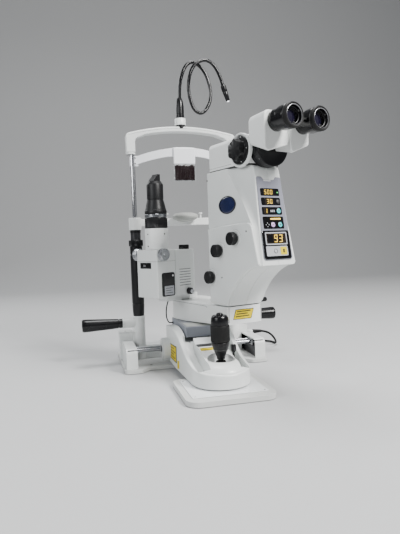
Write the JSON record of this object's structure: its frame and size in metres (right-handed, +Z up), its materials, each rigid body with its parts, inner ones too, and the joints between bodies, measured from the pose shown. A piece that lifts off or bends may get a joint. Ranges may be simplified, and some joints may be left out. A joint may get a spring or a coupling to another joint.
{
  "type": "laser slit lamp",
  "caption": "Slit lamp with a laser head and binocular on a swinging arm, lamp tower on a second arm, joystick carriage on rails, chin rest and forehead band.",
  "frame": {"origin": "underside of the base plate, midway between the two rails, level with the back of the carriage", "axes": "+Z up; the operator sits at -Y and looks along +Y at the patient; +X is to the operator's right"},
  "size_m": [0.5423, 0.7015, 0.7656],
  "materials": {
    "white_paint": "satin off-white paint",
    "sheet_white": "smooth white sheet",
    "white_cover": "satin off-white moulding",
    "cast_white": "cast alloy with satin off-white paint",
    "grey_paint": "matte grey paint on alloy",
    "light_grey_plastic": "matte",
    "black_plastic": "semi-gloss black",
    "black_anodised": "black anodised",
    "black_rubber": "matte black",
    "chrome": "polished",
    "steel": "brushed",
    "aluminium_knurl": "knurled satin alloy",
    "panel_grey": "membrane keypad foil",
    "clear_card": "clear sleeve with a dark card"
  },
  "bodies": {
    "base": {"base_plate": "white_paint", "slide_sheet": "sheet_white", "rail_cover_left": "white_cover", "rail_cover_right": "white_cover", "gear_rack_left": "steel", "gear_rack_right": "steel", "headrest_foot": "white_paint", "handle_grip_left": "black_rubber", "handle_grip_right": "black_rubber", "column_sleeve_left": "black_plastic", "column_sleeve_right": "black_plastic", "column_rod_left": "chrome", "column_rod_right": "chrome", "headrest_arch": "white_cover", "forehead_band": "white_cover", "card_sleeve": "clear_card", "cable_run": "black_rubber", "cable_coil": "black_rubber", "cable_plug": "black_plastic"},
    "cross_slide": {"axle_carrier": "steel"},
    "wheel_axle": {"axle": "chrome"},
    "carriage": {"carriage_shell": "white_cover", "carriage_chassis": "steel"},
    "lock_screw": {"lock_knob": "black_plastic"},
    "lift": {"lift_column": "steel", "stage_block": "grey_paint", "lamp_lead": "black_rubber"},
    "stick_gimbal": {"joystick_gimbal": "black_plastic"},
    "stick": {"joystick_stem": "black_plastic"},
    "stick_grip": {"joystick_grip": "black_rubber"},
    "trigger": {"fire_button": "black_plastic"},
    "laser_head": {"laser_arm": "cast_white", "body_shell_left": "white_cover", "body_shell_right": "white_cover", "control_panel": "panel_grey", "top_housing": "cast_white", "objective_lens": "black_plastic", "binocular_base": "black_plastic"},
    "head_clamp": {"head_clamp_knob": "black_plastic"},
    "aiming_control": {"aiming_knob": "black_plastic"},
    "energy_control": {"energy_knob": "black_plastic"},
    "focus_control": {"focus_shift_knob": "black_plastic"},
    "magnifier_drum": {"magnification_knob": "black_plastic"},
    "prism_left": {"prism_housing_left": "cast_white"},
    "prism_right": {"prism_housing_right": "cast_white"},
    "ocular_left": {"eyepiece_left": "black_plastic"},
    "ocular_right": {"eyepiece_right": "black_plastic"},
    "illumination": {"illumination_arm": "cast_white", "lamp_house": "white_cover", "illumination_tube": "cast_white", "illumination_head": "black_anodised", "mirror_head": "black_anodised"},
    "slit_control": {"slit_width_knobs": "aluminium_knurl"},
    "dimmer_control": {"dimmer_knob": "black_plastic"},
    "filter_control": {"filter_ring": "black_plastic"},
    "chin_rest": {"chin_bar": "cast_white", "chin_cup": "light_grey_plastic"},
    "height_control": {"height_knob": "black_plastic"},
    "fixation_lamp": {"lamp_stalk": "black_plastic", "lamp_head": "black_plastic"}
  },
  "joints": [
    {"name": "carriage_fore_aft", "type": "slide", "parent": "base", "child": "cross_slide", "axis": [0, 1, 0], "range_m": [-0.024, 0.026]},
    {"name": "axle_roll", "type": "hinge", "parent": "cross_slide", "child": "wheel_axle", "pos_m": [0, -0.015, 0.044], "axis": [1, 0, 0], "range_deg": [-180, 170]},
    {"name": "carriage_sideways", "type": "slide", "parent": "cross_slide", "child": "carriage", "axis": [1, 0, 0], "range_m": [-0.036, 0.036]},
    {"name": "lock_screw_turn", "type": "hinge", "parent": "carriage", "child": "lock_screw", "pos_m": [0.0445, -0.192, 0.06], "axis": [0, 0, 1], "range_deg": [-90, 180]},
    {"name": "lift_height", "type": "slide", "parent": "carriage", "child": "lift", "axis": [0, 0, 1], "range_m": [-0.008, 0.022]},
    {"name": "joystick_pitch", "type": "hinge", "parent": "carriage", "child": "stick_gimbal", "pos_m": [0.0036, -0.237, 0.05], "axis": [1, 0, 0], "range_deg": [-5, 5]},
    {"name": "joystick_roll", "type": "hinge", "parent": "stick_gimbal", "child": "stick", "pos_m": [0.0036, -0.237, 0.05], "axis": [0, 1, 0], "range_deg": [-5, 5]},
    {"name": "joystick_turn", "type": "hinge", "parent": "stick", "child": "stick_grip", "pos_m": [0.0036, -0.237, 0.05], "axis": [0, 0, 1], "range_deg": [-240, 660]},
    {"name": "fire_button_press", "type": "slide", "parent": "stick_grip", "child": "trigger", "axis": [0, 0, -1], "range_m": [0, 0.003], "stiffness_N_per_m": 500, "springref_m": -0.001},
    {"name": "laser_arm_swing", "type": "hinge", "parent": "lift", "child": "laser_head", "pos_m": [0.005, 0.028, 0.13], "axis": [0, 0, 1], "range_deg": [-60, 28]},
    {"name": "head_clamp_turn", "type": "hinge", "parent": "laser_head", "child": "head_clamp", "pos_m": [0.11782, -0.16815, 0.168], "axis": [0.9505, 0.3107, 0], "range_deg": [-90, 180]},
    {"name": "aiming_knob_turn", "type": "hinge", "parent": "laser_head", "child": "aiming_control", "pos_m": [0.04344, -0.23928, 0.3047], "axis": [0.9505, 0.3107, 0], "range_deg": [-150, 150]},
    {"name": "energy_knob_turn", "type": "hinge", "parent": "laser_head", "child": "energy_control", "pos_m": [0.02604, -0.18605, 0.28], "axis": [0.9505, 0.3107, 0], "range_deg": [-150, 150]},
    {"name": "focus_shift_turn", "type": "hinge", "parent": "laser_head", "child": "focus_control", "pos_m": [0.0161, -0.15564, 0.2225], "axis": [0.9505, 0.3107, 0], "range_deg": [-120, 120]},
    {"name": "magnification_turn", "type": "hinge", "parent": "laser_head", "child": "magnifier_drum", "pos_m": [0.05207, -0.2554, 0.479], "axis": [0.9505, 0.3107, 0], "continuous": true},
    {"name": "prism_left_turn", "type": "hinge", "parent": "laser_head", "child": "prism_left", "pos_m": [0.10134, -0.31504, 0.484], "axis": [0.3107, -0.9505, 0], "range_deg": [-8, 8]},
    {"name": "prism_right_turn", "type": "hinge", "parent": "laser_head", "child": "prism_right", "pos_m": [0.12986, -0.30572, 0.484], "axis": [0.3107, -0.9505, 0], "range_deg": [-8, 8]},
    {"name": "diopter_left_turn", "type": "hinge", "parent": "prism_left", "child": "ocular_left", "pos_m": [0.09993, -0.36706, 0.5165], "axis": [0.3107, -0.9505, 0], "range_deg": [-150, 150]},
    {"name": "diopter_right_turn", "type": "hinge", "parent": "prism_right", "child": "ocular_right", "pos_m": [0.16172, -0.34686, 0.5165], "axis": [0.3107, -0.9505, 0], "range_deg": [-150, 150]},
    {"name": "illumination_swing", "type": "hinge", "parent": "lift", "child": "illumination", "pos_m": [0.005, 0.028, 0.1675], "axis": [0, 0, 1], "range_deg": [-2, 90]},
    {"name": "slit_width_turn", "type": "hinge", "parent": "illumination", "child": "slit_control", "pos_m": [-0.10424, -0.0443, 0.274], "axis": [0.5519, -0.8339, 0], "range_deg": [-100, 100]},
    {"name": "dimmer_turn", "type": "hinge", "parent": "illumination", "child": "dimmer_control", "pos_m": [-0.01249, -0.02711, 0.183], "axis": [0.5519, -0.8339, 0], "range_deg": [-150, 150]},
    {"name": "filter_ring_turn", "type": "hinge", "parent": "illumination", "child": "filter_control", "pos_m": [-0.08673, -0.03271, 0.348], "axis": [0, 0, 1], "range_deg": [-90, 90]},
    {"name": "chin_rest_height", "type": "slide", "parent": "base", "child": "chin_rest", "axis": [0, 0, 1], "range_m": [-0.024, 0.056]},
    {"name": "height_knob_turn", "type": "hinge", "parent": "base", "child": "height_control", "pos_m": [-0.126, 0.06, 0.303], "axis": [0, 0, 1], "range_deg": [-450, 1020]},
    {"name": "fixation_lamp_swivel", "type": "hinge", "parent": "base", "child": "fixation_lamp", "pos_m": [0, 0.06, 0.6173], "axis": [0, 0, 1], "range_deg": [-170, 170]}
  ],
  "couplings": [
    {"joint": "axle_roll", "follows": "carriage_fore_aft", "rad_per_m": -117.65},
    {"joint": "joystick_turn", "follows": "lift_height", "rad_per_m": 520},
    {"joint": "prism_right_turn", "follows": "prism_left_turn", "ratio": -1},
    {"joint": "height_knob_turn", "follows": "chin_rest_height", "rad_per_m": 314.16}
  ]
}
